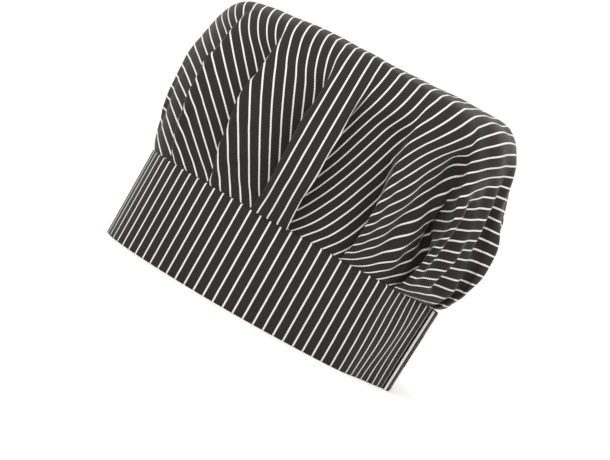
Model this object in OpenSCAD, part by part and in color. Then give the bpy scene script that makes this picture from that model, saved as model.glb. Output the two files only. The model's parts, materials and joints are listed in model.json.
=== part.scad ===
// Pleated chef toque: a round piece of cloth pleated into a stiffened, folded band
// that closes at the centre back with a hook-and-loop tab.
// Frame: origin at the centre of the band's lower edge, +Z up, front of the hat towards -Y.
// Angles round the band are those of its outward normal, from +Y (back) towards +X.

/* [Band] */
// Outside length of the band, front to back
band_length = 208; // [175:1:250]
// Outside width of the band, ear to ear
band_width = 156; // [135:1:172]
// Radius of the band's front and back ends
band_end_r = 60; // [50:1:66]
// Height of the band
band_h = 60; // [48:1:90]
// Thickness of one ply of cloth
cloth_t = 0.5; // [0.3:0.1:0.8]
// Thickness of the stiffener inside the band
stiffener_t = 0.6; // [0.4:0.1:1.2]

/* [Crown] */
// How far the crown swells out past the band at the front and at the back
crown_over_ends = 13; // [6:0.5:30]
// How far the crown swells out past the band at each side
crown_over_sides = 28; // [6:0.5:36]
// Height of the middle of the crown's top above the band
crown_h = 121; // [100:1:220]
// Height above the band at which the crown is widest
crown_wide_h = 58; // [46:1:72]
// How much higher the top is at the back than at the front
crown_rise = 12; // [0:1:20]
// Thickness of the pleated crown cloth
crown_t = 1.2; // [0.8:0.1:2.5]
// Squareness of the crown's shoulder, 2 for an ellipse
crown_corner = 3.8; // [2:0.1:6]
// Height of the slit in the back of the crown
slit_h = 38; // [20:1:45]
// Width that the slit stands open
slit_w = 1; // [0.5:0.1:3]

/* [Closure] */
// Length of the tab, measured round the band
tab_length = 49; // [36:1:62]
// Length of the band's end that lies under the tab, measured back from the tab's free end
under_length = 43; // [32:1:58]
// Height of the hook tape and the loop tape
tape_h = 25; // [16:1:38]
// Length of the hook tape on the tab
hook_length = 24; // [16:1:30]
// Length of the loop tape on the under end
loop_length = 36; // [24:1:50]
// Thickness of the hook tape
hook_t = 0.9; // [0.6:0.1:1.6]
// Thickness of the loop tape
loop_t = 0.9; // [0.6:0.1:1.6]

/* [Seam and label] */
// Height of the overlocked seam allowance inside the band
allowance_h = 7; // [5:0.5:12]
// Thickness of the overlocked seam allowance
allowance_t = 1.4; // [0.8:0.1:2.4]
// Width of the care label
label_w = 28; // [18:1:40]
// Height of the care label
label_h = 34; // [15:1:36]
// Thickness of the care label
label_t = 0.4; // [0.2:0.1:0.8]
// Angle of the label's middle round the band
label_at = 66; // [58:1:110]

/* [Hidden] */

ply_gap = 0.1;        // between layers that are sewn together
body_gap = 0.3;       // between the tab and the band it closes on
label_gap = 0.8;      // between the label and the inside of the band
label_drop = 1.5;     // from the turned seam allowance down to the label that it holds
grid = 3;             // degrees between the corners of every outline round the band
thread_t = 0.35;      // how far a row of stitches stands off the cloth
thread_w = 0.7;       // width of a row of stitches
stitch_inset = 2.4;   // from a row of stitches to the edge that it holds
tab_drop = 1;         // from the tab's top edge to the top of the band
bartack_w = 8;        // across the slit
bartack_h = 1.8;
bartack_t = 0.8;

crown_length = band_length + 2 * crown_over_ends;
crown_width = band_width + 2 * crown_over_sides;
half_l = band_length / 2;
half_w = band_width / 2;
side_r = (half_l * half_l + half_w * half_w - 2 * half_l * band_end_r) / (2 * (half_w - band_end_r));
end_y = half_l - band_end_r;        // centre of the end arcs, from the middle
side_x = side_r - half_w;           // centre of the side arcs, from the middle
join_at = atan2(side_x, end_y);     // where an end arc runs into a side arc
band_t = 2 * cloth_t + stiffener_t + 2 * ply_gap;
pocket_out = -cloth_t;              // the space between the band's two plies
pocket_in = -band_t + cloth_t;

function radius_at(t) = at_end(t) ? band_end_r : side_r;
function degrees_at(t, length) = length / radius_at(t) * 180 / PI;
function degrees_of(length) = length / band_end_r * 180 / PI;
tab_to = 17;                                       // the tab's free end
tab_from = tab_to - degrees_of(tab_length);        // the line that the tab opens about
under_from = tab_to - degrees_of(under_length);    // the end of the band under the tab
joggle_from = tab_to + 3;                          // the band steps out again past the tab
joggle_to = joggle_from + 15;
band_to = 360 + tab_from - degrees_at(tab_from, body_gap); // the band's other end meets the tab
lap_step = band_t + hook_t + body_gap + loop_t;    // how far the under end lies inside
tab_h = band_h - tab_drop;
tape_z = (band_h - tape_h) / 2;
hook_to = tab_to - degrees_of(2 * stitch_inset);
hook_from = hook_to - degrees_of(hook_length);
loop_to = tab_to - degrees_of(1);
loop_from = loop_to - degrees_of(loop_length);
slit_at = (tab_from + under_from) / 2;
label_top = band_h - allowance_h - label_drop;
label_half = label_w / side_r * 90 / PI;           // half the label's width, in degrees

// The band's outline, as arcs: the outward normal's angle t gives one point of it.
function turn(t) = t - 360 * floor(t / 360);
function at_end(t) = let (u = turn(t)) u <= join_at || u >= 360 - join_at ||
    (u >= 180 - join_at && u <= 180 + join_at);
function arc_centre(t) = at_end(t) ? [0, cos(t) > 0 ? end_y : -end_y]
                                   : [sin(t) > 0 ? -side_x : side_x, 0];
function arc_point(t, out) = arc_centre(t) + ((at_end(t) ? band_end_r : side_r) + out) * [sin(t), cos(t)];
// Corners lie on the grid, so that every layer's flat faces are parallel.
function on_band(t, out) = let (g = grid * floor(t / grid), f = (t - g) / grid)
    (1 - f) * arc_point(g, out) + f * arc_point(g + grid, out);
function ease(x) = let (c = max(0, min(1, x))) c * c * (3 - 2 * c);
// The band's under end lies inside the tab by lap_step and steps out past it.
function lap(t) = lap_step * ease((joggle_to - t) / (joggle_to - joggle_from));
function on_strip(t, out) = let (g = grid * floor(t / grid), f = (t - g) / grid)
    (1 - f) * arc_point(g, out - lap(g)) + f * arc_point(g + grid, out - lap(g + grid));
function angles(from, to) = concat([from],
    [for (k = [floor(from / grid) + 1 : ceil(to / grid) - 1]) k * grid], [to]);

// A curved wall that follows the band between two angles, two heights and two depths.
module wall(from, to, z0, z1, inner, outer) {
    translate([0, 0, z0]) linear_extrude(z1 - z0)
        polygon(concat([for (t = angles(from, to)) on_band(t, outer)],
                       [for (t = angles(-to, -from)) on_band(-t, inner)]));
}
// The same for what follows the band's own strip, which steps in under the tab.
module strip_wall(from, to, z0, z1, inner, outer) {
    translate([0, 0, z0]) linear_extrude(z1 - z0)
        polygon(concat([for (t = angles(from, to)) on_strip(t, outer)],
                       [for (t = angles(-to, -from)) on_strip(-t, inner)]));
}

// Crown: rings of corners from the band's top edge up to the middle of the top.
top_h = crown_h - crown_wide_h;
flare_steps = [0, 0.12, 0.3, 0.5, 0.75, 1];
shoulder_steps = [6, 15, 28, 45, 60, 75, 84];
function ellipse_point(t, a, b) = [b * b * sin(t), a * a * cos(t)] / norm([b * sin(t), a * cos(t)]);
function flare_ring(f, inset) = let (s = sin(90 * f)) [for (t = [0 : grid : 359])
    let (p = (1 - s) * arc_point(t, -inset * (band_t / crown_t))
           + s * ellipse_point(t, crown_length / 2 - inset, crown_width / 2 - inset))
    [p.x, p.y, band_h + f * crown_wide_h]];
function shoulder_ring(a, inset) = let (c = pow(cos(a), 2 / crown_corner), s = pow(sin(a), 2 / crown_corner))
    [for (t = [0 : grid : 359])
    let (p = ellipse_point(t, (crown_length / 2 - inset) * c, (crown_width / 2 - inset) * c))
    [p.x, p.y, band_h + crown_wide_h + (top_h - inset + crown_rise * p.y / crown_length) * s]];
function crown_rings(inset) = concat([for (f = flare_steps) flare_ring(f, inset)],
                                     [for (a = shoulder_steps) shoulder_ring(a, inset)]);
function flat(lists) = [for (l = lists) each l];

module crown_shell() {
    n = 360 / grid;
    rings = len(flare_steps) + len(shoulder_steps);
    skin = concat(flat(crown_rings(0)), [[0, 0, band_h + crown_h]]);
    lining = concat(flat(crown_rings(crown_t)), [[0, 0, band_h + crown_h - crown_t]]);
    m = len(skin);
    polyhedron(points = concat(skin, lining), faces = concat(
        [for (k = [0 : rings - 2], i = [0 : n - 1]) let (j = (i + 1) % n)
            each [[k * n + i, k * n + n + i, k * n + n + j], [k * n + i, k * n + n + j, k * n + j]]],
        [for (k = [0 : rings - 2], i = [0 : n - 1]) let (j = (i + 1) % n)
            each [[m + k * n + i, m + k * n + n + j, m + k * n + n + i],
                  [m + k * n + i, m + k * n + j, m + k * n + n + j]]],
        [for (i = [0 : n - 1]) [(rings - 1) * n + i, m - 1, (rings - 1) * n + (i + 1) % n]],
        [for (i = [0 : n - 1]) [m + (rings - 1) * n + (i + 1) % n, 2 * m - 1, m + (rings - 1) * n + i]],
        [for (i = [0 : n - 1]) let (j = (i + 1) % n) each [[i, j, m + j], [i, m + j, m + i]]]));
}
// What stands at the slit: +Y points out of the hat, from the seam's outline.
slit_foot = arc_point(slit_at, 0);
module at_slit(z) {
    translate([slit_foot.x, slit_foot.y, z]) rotate([0, 0, -slit_at]) children();
}
module crown_cloth() {
    color("#332f30") difference() {
        crown_shell();
        at_slit(band_h - 1) translate([-slit_w / 2, -band_end_r / 2, 0])
            cube([slit_w, crown_length, slit_h + 1]);
    }
}
// The threads that bridge the top of the slit, on the crown's outside.
module slit_bartack() {
    s = sin(90 * (slit_h + bartack_h) / crown_wide_h);
    swell = ellipse_point(slit_at, crown_length / 2, crown_width / 2) - slit_foot;
    reach = s * (swell.x * sin(slit_at) + swell.y * cos(slit_at));
    color("#e9e6e1") at_slit(band_h + slit_h) translate([-bartack_w / 2, reach + ply_gap, 0])
        cube([bartack_w, bartack_t, bartack_h]);
}

// Band: one strip of cloth folded at the lower edge over the stiffener.
module band_cloth() {
    color("#332f30") difference() {
        strip_wall(under_from, band_to, 0, band_h, -band_t, 0);
        strip_wall(under_from + degrees_of(cloth_t), band_to + 1, cloth_t, band_h + 1, pocket_in, pocket_out);
    }
}
module band_stiffener() {
    color("#f2f0ea") strip_wall(under_from + degrees_of(cloth_t + ply_gap), band_to,
        cloth_t + ply_gap, band_h - 1, pocket_in + ply_gap, pocket_out - ply_gap);
}
// The raw edges of crown and band, overlocked together and turned down inside the band.
module seam_allowance() {
    color("#3c3839") strip_wall(under_from, band_to, band_h - allowance_h, band_h,
        -band_t - ply_gap - allowance_t, -band_t - ply_gap);
}
// The lockstitch that holds the turned seam allowance flat against the band.
module seam_thread() {
    color("#1f1d1e") strip_wall(under_from + degrees_of(stitch_inset), band_to - degrees_of(stitch_inset),
        band_h - allowance_h / 2, band_h - allowance_h / 2 + thread_w,
        -band_t - ply_gap - allowance_t - thread_t, -band_t - ply_gap - allowance_t);
}

// A rectangle of stitches on a curved wall.
module stitch_frame(from, to, z0, z1, inner, outer, strip) {
    leg = degrees_of(thread_w);
    difference() {
        if (strip) strip_wall(from, to, z0, z1, inner, outer);
        else wall(from, to, z0, z1, inner, outer);
        if (strip) strip_wall(from + leg, to - leg, z0 + thread_w, z1 - thread_w, inner - 1, outer + 1);
        else wall(from + leg, to - leg, z0 + thread_w, z1 - thread_w, inner - 1, outer + 1);
    }
}
module loop_tape() {
    color("#161516") strip_wall(loop_from, loop_to, tape_z, tape_z + tape_h, 0, loop_t);
}
module loop_tape_thread() {
    inset = degrees_of(stitch_inset / 2);
    color("#1f1d1e") stitch_frame(loop_from + inset, loop_to - inset, tape_z + stitch_inset / 2,
        tape_z + tape_h - stitch_inset / 2, -band_t - thread_t, -band_t, true);
}
// The stitches that close the band's end under the tab, seen from inside the hat.
module under_end_thread() {
    at = under_from + degrees_of(1);
    color("#1f1d1e") strip_wall(at, at + degrees_of(thread_w), stitch_inset,
        band_h - allowance_h - 1, -band_t - thread_t, -band_t);
}

// Tab: the band's other end, folded and stitched shut, which opens about tab_from.
module tab_cloth() {
    color("#332f30") difference() {
        wall(tab_from, tab_to, 0, tab_h, -band_t, 0);
        wall(tab_from - 1, tab_to - degrees_of(cloth_t), cloth_t, tab_h - cloth_t, pocket_in, pocket_out);
    }
}
module tab_stiffener() {
    color("#f2f0ea") wall(tab_from + degrees_of(ply_gap), tab_to - degrees_of(cloth_t + ply_gap),
        cloth_t + ply_gap, tab_h - cloth_t - ply_gap, pocket_in + ply_gap, pocket_out - ply_gap);
}
module hook_tape() {
    color("#161516") wall(hook_from, hook_to, tape_z, tape_z + tape_h, -band_t - hook_t, -band_t);
}
module hook_tape_thread() {
    inset = degrees_of(stitch_inset / 2);
    color("#1f1d1e") stitch_frame(hook_from + inset, hook_to - inset, tape_z + stitch_inset / 2,
        tape_z + tape_h - stitch_inset / 2, 0, thread_t, false);
}
module tab_edge_thread() {
    color("#1f1d1e") stitch_frame(tab_from + degrees_of(stitch_inset), tab_to - degrees_of(stitch_inset / 1.6),
        stitch_inset, tab_h - stitch_inset, 0, thread_t, false);
}

// Label: hangs by its upper edge inside the band.
module care_label() {
    color("#f4f3f0") wall(label_at - label_half, label_at + label_half, label_top - label_h, label_top,
        -band_t - label_gap - label_t, -band_t - label_gap);
}
module label_thread() {
    color("#e9e6e1") wall(label_at - label_half + 0.8, label_at + label_half - 0.8,
        label_top + 2 * label_drop, label_top + 2 * label_drop + thread_w,
        -band_t - ply_gap - allowance_t - thread_t, -band_t - ply_gap - allowance_t);
}

crown_cloth();
band_cloth();
band_stiffener();
seam_allowance();
seam_thread();
slit_bartack();
loop_tape();
loop_tape_thread();
under_end_thread();
tab_cloth();
tab_stiffener();
hook_tape();
hook_tape_thread();
tab_edge_thread();
care_label();
label_thread();
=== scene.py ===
"""Pleated chef toque in pinstriped cloth: the looks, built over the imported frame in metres."""

import json
import math

import bpy
import numpy as np
from mathutils import Matrix, Vector


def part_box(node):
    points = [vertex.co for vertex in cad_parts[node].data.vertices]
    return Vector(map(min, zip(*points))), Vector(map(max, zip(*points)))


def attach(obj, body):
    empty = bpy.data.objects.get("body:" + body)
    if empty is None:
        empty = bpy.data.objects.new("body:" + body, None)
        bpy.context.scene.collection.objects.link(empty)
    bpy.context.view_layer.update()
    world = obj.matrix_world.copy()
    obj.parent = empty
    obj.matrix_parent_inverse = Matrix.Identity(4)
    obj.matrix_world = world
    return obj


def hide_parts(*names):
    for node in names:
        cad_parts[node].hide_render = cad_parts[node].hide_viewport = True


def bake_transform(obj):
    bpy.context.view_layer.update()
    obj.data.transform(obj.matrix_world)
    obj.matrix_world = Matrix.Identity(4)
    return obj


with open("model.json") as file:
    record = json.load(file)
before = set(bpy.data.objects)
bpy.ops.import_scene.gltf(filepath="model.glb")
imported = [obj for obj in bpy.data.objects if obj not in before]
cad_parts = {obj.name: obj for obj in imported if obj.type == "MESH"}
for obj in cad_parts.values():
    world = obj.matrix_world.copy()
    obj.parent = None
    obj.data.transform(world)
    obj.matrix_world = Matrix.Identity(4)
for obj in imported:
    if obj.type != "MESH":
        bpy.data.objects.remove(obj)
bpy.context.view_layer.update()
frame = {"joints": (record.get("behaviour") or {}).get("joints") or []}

bl_info = {
    "name": "Pleated chef toque",
    "version": (1, 0, 0),
    "blender": (4, 5, 0),
    "location": "3D View > Sidebar > Toque",
    "description": "Builds a pinstriped toque with a pleated crown, a folded band and a tab closure",
    "category": "Object",
}

MM = 0.001
CUT_EDGE = math.radians(50)  # faces that meet more sharply than this keep a crisp edge
TAPE_DEPTH = 0.9 * MM  # one tape's ground with its hooks or its pile
TAPE_GAP = 0.3 * MM  # left between hooks and pile where the tab lies closed
SEAM_FACE = 3.35 * MM  # from the band's outer face to the inner face of the seam turning


# ---------------------------------------------------------------- sizes


def length(name, default, description):
    """A length property, in metres, from a size in millimetres."""
    return bpy.props.FloatProperty(
        name=name,
        description=description,
        default=default * MM,
        min=0.0,
        precision=5,
        unit="LENGTH",
        subtype="DISTANCE",
    )


def angle(name, degrees, description):
    """An angle property, in radians, from degrees."""
    return bpy.props.FloatProperty(
        name=name,
        description=description,
        default=math.radians(degrees),
        subtype="ANGLE",
        unit="ROTATION",
    )


def linear(code):
    """An sRGB hex colour as linear RGBA."""
    channels = [int(code[i : i + 2], 16) / 255 for i in (1, 3, 5)]
    return [c / 12.92 if c <= 0.04045 else ((c + 0.055) / 1.055) ** 2.4 for c in channels] + [1.0]


def tint(name, code, description):
    """A colour property, in linear RGBA, from an sRGB hex colour."""
    return bpy.props.FloatVectorProperty(
        name=name,
        description=description,
        default=linear(code),
        size=4,
        min=0.0,
        max=1.0,
        subtype="COLOR",
    )


class CrownSettings(bpy.types.PropertyGroup):
    """The round piece of cloth, its pleats and how it stands."""

    flat_radius: length("Flat radius", 218, "Radius of the cut disc, from its middle to the seam")
    grid: length("Grid", 4, "Spacing of the cloth's grid before it is made smooth")
    thickness: length("Thickness", 0.45, "Thickness of the cloth")
    lift: length("Lift", 2.0, "How far one layer of a pleat lies over the next at the seam")
    loft: length("Loft", 8, "How much further the layers stand apart halfway up the crown")
    tuck_in: length("Tuck in", 1.0, "How far inside the band's face the seam lies")
    wrinkle: length("Wrinkle", 0.5, "Height of the small unevenness that is left in the cloth")
    gather: length("Gather", 2.8, "Depth of the slack gathers at the back")
    steps: bpy.props.IntProperty(
        name="Steps", description="Frames that the cloth is left to settle for", default=10, min=0
    )


class BandSettings(bpy.types.PropertyGroup):
    """The folded strip that goes round the head."""

    end_radius: length("End radius", 60, "Radius of the band's front and back ends")
    thickness: length("Thickness", 1.8, "Thickness of the folded band with its stiffener")
    cloth: length("Cloth", 0.5, "Thickness of one ply of the band's cloth")
    grid: length("Grid", 4, "Spacing of the band's grid")
    roll: length("Roll", 1.2, "Height over which the top edge rolls into the seam")
    flare: length("Flare", 3, "How far the top edge leans outwards at the back")
    corner: length("Corner", 1.0, "Height of the soft corner where the band turns to the back")
    buckle: length("Buckle", 1.0, "Height of the slack waves near the back")
    flat_to: angle("Flat to", 56, "Where the band's flat run past the tab ends, from the middle of the back")
    bend: length("Bend", 10, "Length over which the tab bends where it opens")
    curl: length("Curl", 1.0, "How far the tab's free end curls towards the band")
    curl_from: angle("Curl from", 12.6, "Where that curl starts, from the middle of the back")
    lining: tint("Lining colour", "#e6e3dc", "Colour of the stiffener between the plies")


class ClosureSettings(bpy.types.PropertyGroup):
    """The tab's tapes and stitches."""

    under: length("Under end", 43, "How far the band's other end reaches under the tab")
    tape: length("Tape width", 25, "Width of the hook tape and the loop tape")
    hook: length("Hook tape", 24, "Length of the hook tape")
    loop: length("Loop tape", 36, "Length of the loop tape")
    base: length("Ground", 0.35, "Thickness of a tape's woven ground")
    inset: length("Inset", 2.4, "From the tab's stitches to its edges")
    bartack: length("Bartack", 8, "Width of the bar of stitches over the slit")
    tape_colour: tint("Tape colour", "#171617", "Colour of both tapes' woven ground")
    hook_colour: tint("Hook colour", "#191819", "Colour of the hooks")
    pile_colour: tint("Pile colour", "#141314", "Colour of the loop pile")


class LabelSettings(bpy.types.PropertyGroup):
    """The blank care label."""

    width: length("Width", 28, "Width of the ribbon")
    hangs_at: angle("Place", 66, "Where it hangs round the band, from the middle of the back")
    colour: tint("Ribbon colour", "#f2f1ec", "Colour of the ribbon")


class ThreadSettings(bpy.types.PropertyGroup):
    """Sewing thread and its stitches."""

    radius: length("Radius", 0.17, "Radius of the sewing thread")
    stitch: length("Stitch", 2.8, "Length of one lockstitch, with the gap after it")
    overlock_step: length("Overlock step", 2.2, "Distance between the loops of the overlock seam")
    dark: tint("Dark thread", "#1d1b1c", "Colour of the thread on the band, the tapes and the tab")
    pale: tint("Pale thread", "#e9e6e1", "Colour of the thread on the label and the bartack")


class StripeSettings(bpy.types.PropertyGroup):
    """The pinstripe, as it was woven."""

    pitch: length("Pitch", 7.0, "Distance from one stripe to the next")
    width: length("Width", 1.08, "Width of a stripe")
    crown_shift: length("Crown shift", 1.0, "How far the crown's stripes are moved sideways")
    band_shift: length("Band shift", 3.5, "How far the band's stripes are moved along it")
    cloth: tint("Cloth colour", "#231f1e", "Colour of the cloth between the stripes")
    colour: tint("Stripe colour", "#d9d6d3", "Colour of the stripes")


class StageSettings(bpy.types.PropertyGroup):
    """Camera, floor and light."""

    distance: length("Distance", 1250, "From the hat's middle to the camera")
    camera_height: length("Camera height", 101, "Height of the camera over the hat's lower edge")
    aim_height: length("Aim height", 63, "Height of the point that the camera looks at")
    aim_back: length("Aim back", 6, "How far behind the hat's middle that point is")
    roll: angle("Roll", 29.5, "Turn of the camera about its own axis, which shows the hat leaning back")
    lens: bpy.props.FloatProperty(
        name="Lens", description="Focal length in millimetres", default=115, min=20
    )
    floor: length("Floor", 6000, "Width of the floor")
    room: bpy.props.FloatProperty(
        name="Room", description="Brightness of the white room", default=1.1, min=0
    )
    key: bpy.props.FloatProperty(
        name="Key", description="Power of the main soft light in watts", default=10, min=0
    )
    ground: tint("Floor colour", "#fbfaf9", "Colour of the floor")


def settings():
    """The scene's settings for the hat."""
    return bpy.context.scene.toque


def group(kind, name, description):
    """A group of settings inside the hat's."""
    return bpy.props.PointerProperty(type=kind, name=name, description=description)


class ToqueSettings(bpy.types.PropertyGroup):
    """All settings of the hat, in groups."""

    crown: group(CrownSettings, "Crown", "The crown's cloth and pleats")
    band: group(BandSettings, "Band", "The band and its tab")
    closure: group(ClosureSettings, "Closure", "Tapes and bartack")
    label: group(LabelSettings, "Label", "The care label")
    thread: group(ThreadSettings, "Thread", "Sewing thread and stitches")
    stripe: group(StripeSettings, "Stripe", "The pinstripe and the cloth's colours")
    stage: group(StageSettings, "Stage", "Camera, floor and light")


# ---------------------------------------------------------------- the band's outline


def joint_at(name):
    """The place of a joint in the frame."""
    return next(j for j in frame["joints"] if j["name"] == name)["pos_m"]


def smooth(x):
    """Eases from 0 to 1."""
    x = np.clip(x, 0, 1)
    return x * x * (3 - 2 * x)


class Outline:
    """The band's oval outline: four arcs, found by the angle of the outward normal from +Y towards +X."""

    # All places and widths are in degrees from the middle of the back.
    STEP = 0.25
    EASE = (-4, -2, 0, 2, 4)  # the flat run past the tab starts and ends softly over this
    CORNER_PAST, CORNER_WIDE = 3, 8  # the soft corner lies a little past the flat run
    SLACK = ((1.0, 42, 15), (0.4, -55, 15))  # slack stretches: share, place, width
    WAVES = ((1.0, 6.0, 0.11, 0.0), (0.6, 3.0, -0.19, 1.0))  # share, turns by height and by degree, phase

    def __init__(self):
        low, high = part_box("band_cloth")
        self.half_width = high.x
        self.half_length = -low.y
        self.height = high.z
        r = settings().band.end_radius
        a, b = self.half_length, self.half_width
        self.end_radius = r
        self.side_radius = (a * a + b * b - 2 * a * r) / (2 * (b - r))
        self.end_y = a - r
        self.side_x = self.side_radius - b
        self.join = math.degrees(math.atan2(self.side_x, self.end_y))
        hinge = joint_at("tab_peel")
        self.hinge = Vector(hinge)
        self.tab_from = math.degrees(math.atan2(hinge[0], hinge[1] - self.end_y))
        self.tab_to = math.degrees(math.asin(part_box("tab_cloth")[1].x / r))
        self.tab_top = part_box("tab_cloth")[1].z
        self.flat_to = math.degrees(settings().band.flat_to)
        self.curl_from = math.degrees(settings().band.curl_from)
        fine = np.arange(-360.0, 900.0, self.STEP)
        steps = np.hypot(*np.diff(self.at(fine), axis=0).T)
        self.fine = fine
        self.along = np.r_[0.0, np.cumsum(steps)]
        self.round = np.interp(360.0, fine, self.along) - np.interp(0.0, fine, self.along)

    def lap_step(self):
        """How far the band's under end lies inside the tab."""
        return settings().band.thickness + 2 * TAPE_DEPTH + TAPE_GAP

    def at(self, t, out=0.0):
        """Points of the outline at normal angles t, moved outwards."""
        t = np.atleast_1d(np.asarray(t, float))
        u = np.mod(t, 360.0)
        end = (u <= self.join) | (u >= 360 - self.join) | (abs(u - 180) <= self.join)
        s, c = np.sin(np.radians(t)), np.cos(np.radians(t))
        radius = np.where(end, self.end_radius, self.side_radius) + out
        x = np.where(end, 0.0, np.where(s > 0, -self.side_x, self.side_x))
        y = np.where(end, np.where(c > 0, self.end_y, -self.end_y), 0.0)
        return np.c_[x + radius * s, y + radius * c]

    def length_at(self, t):
        """Distance along the outline from the middle of the back to normal angle t."""
        return np.interp(t, self.fine, self.along) - np.interp(0.0, self.fine, self.along)

    def angle_at(self, distance):
        """The normal angle at a distance along the outline from the middle of the back."""
        return np.interp(distance + np.interp(0.0, self.fine, self.along), self.along, self.fine)

    def lap(self, t):
        """How far the band's strip lies inside the outline: under the tab, and on the flat run past it."""
        step = self.lap_step()
        corner = self.at(self.flat_to)[0]
        free_end = self.at(self.tab_to, -step)[0]
        run = corner - free_end
        facing = np.array([-run[1], run[0]]) / math.hypot(*run)
        facing *= np.sign(facing[1])
        t = np.atleast_1d(np.asarray(t, float))
        eased = np.zeros(len(t))
        for ease in self.EASE:
            near = np.clip(t + ease, self.tab_to, self.flat_to)
            out = np.c_[np.sin(np.radians(near)), np.cos(np.radians(near))]
            eased += (self.at(near) - corner) @ facing / (out @ facing) / len(self.EASE)
        return eased

    def bow(self, t, z):
        """How far worn cloth stands off the plain outline, for everything on the band alike."""
        b = settings().band
        t = np.asarray(t, float)
        back = np.mod(t + 180, 360) - 180
        up = np.asarray(z, float) / self.height
        bump = np.exp(-(((abs(back) - self.flat_to - self.CORNER_PAST) / self.CORNER_WIDE) ** 2))
        lean = np.clip(np.cos(np.radians(back)), 0, 1) ** 2
        slack = sum(share * np.exp(-(((back - place) / wide) ** 2)) for share, place, wide in self.SLACK)
        waves = sum(
            share * np.sin(up * rise + back * turn + phase) for share, rise, turn, phase in self.WAVES
        )
        return b.corner * bump + b.flare * lean * up + b.buckle * waves * slack

    def worn(self, t, out, z):
        """Points off the outline at that depth and height, with the bow of worn cloth."""
        p = self.at(t, out + self.bow(t, z))
        return np.c_[p, np.broadcast_to(z, len(p))]

    def on_tab(self, t, out, z):
        """Points on the tab, whose free end curls down towards the band."""
        reach = self.tab_to - self.curl_from
        curl = smooth((np.asarray(t, float) - self.curl_from) / reach)
        return self.worn(t, out - settings().band.curl * curl, z)

    def on_strip(self, t, out, z):
        """Points on the band's own strip, which steps in under the tab."""
        return self.worn(t, out - self.lap(t), z)


# ---------------------------------------------------------------- meshes


def make_object(name, verts, faces, flat=None, rounded=True):
    """A mesh object; flat gives each vertex its place on the cut cloth, for the pattern."""
    mesh = bpy.data.meshes.new(name)
    mesh.from_pydata(np.asarray(verts, float).tolist(), [], [tuple(int(i) for i in f) for f in faces])
    mesh.validate()
    mesh.update()
    mesh.polygons.foreach_set("use_smooth", [rounded] * len(mesh.polygons))
    if flat is not None:
        corners = np.empty(len(mesh.loops), int)
        mesh.loops.foreach_get("vertex_index", corners)
        layer = mesh.uv_layers.new(name="cloth")
        layer.uv.foreach_set("vector", np.asarray(flat, np.float32)[corners, :2].ravel())
    obj = bpy.data.objects.new(name, mesh)
    bpy.context.collection.objects.link(obj)
    return obj


def apply_modifiers(obj):
    """Keeps the mesh as its modifiers leave it, and drops them."""
    bpy.context.view_layer.update()
    graph = bpy.context.evaluated_depsgraph_get()
    shaped = obj.evaluated_get(graph)
    mesh = bpy.data.meshes.new_from_object(shaped, preserve_all_data_layers=True, depsgraph=graph)
    obj.modifiers.clear()
    old = obj.data
    obj.data = mesh
    bpy.data.meshes.remove(old)
    mesh.name = obj.name
    return obj


def thicken(obj, thickness):
    """Gives a sheet its thickness, half of it on each side."""
    solid = obj.modifiers.new("thickness", "SOLIDIFY")
    solid.thickness = thickness
    solid.offset = 0.0
    solid.use_even_offset = False
    apply_modifiers(obj)
    obj.data.set_sharp_from_angle(angle=CUT_EDGE)
    return obj


def grid_faces(rows, columns, closed=False):
    """Quads of a grid whose rows follow one another in the vertex list."""
    faces = []
    for i in range(rows - 1):
        for j in range(columns if closed else columns - 1):
            k = (j + 1) % columns
            faces.append((i * columns + j, i * columns + k, (i + 1) * columns + k, (i + 1) * columns + j))
    return faces


def tubes(paths, radius, sides=6):
    """Vertices and faces of round threads along paths of points, each with the way out of the cloth."""
    verts, faces = [], []
    turn = np.arange(sides) / sides * 2 * math.pi
    for points, up in paths:
        p = np.asarray(points, float)
        along = np.gradient(p, axis=0)
        along /= np.linalg.norm(along, axis=1)[:, None]
        side = np.cross(along, np.asarray(up, float))
        side /= np.linalg.norm(side, axis=1)[:, None]
        out = np.cross(side, along)
        ring = np.cos(turn)[None, :, None] * side[:, None] + np.sin(turn)[None, :, None] * out[:, None]
        base = len(verts)
        verts += (p[:, None] + ring * radius).reshape(-1, 3).tolist()
        faces += [tuple(base + i for i in f) for f in grid_faces(len(p), sides, closed=True)]
        faces.append(tuple(base + i for i in range(sides))[::-1])
        last = base + (len(p) - 1) * sides
        faces.append(tuple(last + i for i in range(sides)))
    return verts, faces


# One lockstitch, from needle hole to needle hole: shares of its length, and rise in radii of the thread.
STITCH_ALONG = np.array([0.04, 0.16, 0.5, 0.84, 0.96])
STITCH_RISE = np.array([-1.2, 0.5, 0.8, 0.5, -1.2])


def stitches(corners, place, pitch, radius, out_side=1.0):
    """Lockstitches along (distance, height) corners; place turns these into points off the cloth."""
    paths = []
    for (a0, z0), (a1, z1) in zip(corners[:-1], corners[1:]):
        run = math.hypot(a1 - a0, z1 - z0)
        count = max(1, round(run / pitch))
        for k in range(count):
            at = (k + STITCH_ALONG) / count
            rise = radius * STITCH_RISE
            a, z = a0 + (a1 - a0) * at, z0 + (z1 - z0) * at
            points = place(a, rise * out_side, z)
            lifted = place(a, (rise + radius) * out_side, z)
            paths.append((points, (lifted - points).mean(0)))
    return tubes(paths, radius)


# ---------------------------------------------------------------- materials

MATH = "ShaderNodeMath"
MIX = "ShaderNodeMix"
NOISE = "ShaderNodeTexNoise"
TIMES = {"data_type": "RGBA", "blend_type": "MULTIPLY"}


def node(tree, kind, inputs=None, **options):
    """Adds a node with its options. An input is a value, or a node or one of its outputs to link."""
    made = tree.nodes.new(kind)
    for name, value in options.items():
        setattr(made, name, value)
    for key, value in (inputs or {}).items():
        if isinstance(value, bpy.types.Node):
            value = value.outputs[0]
        if isinstance(value, bpy.types.NodeSocket):
            tree.links.new(value, made.inputs[key])
        else:
            made.inputs[key].default_value = value
    return made


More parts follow.
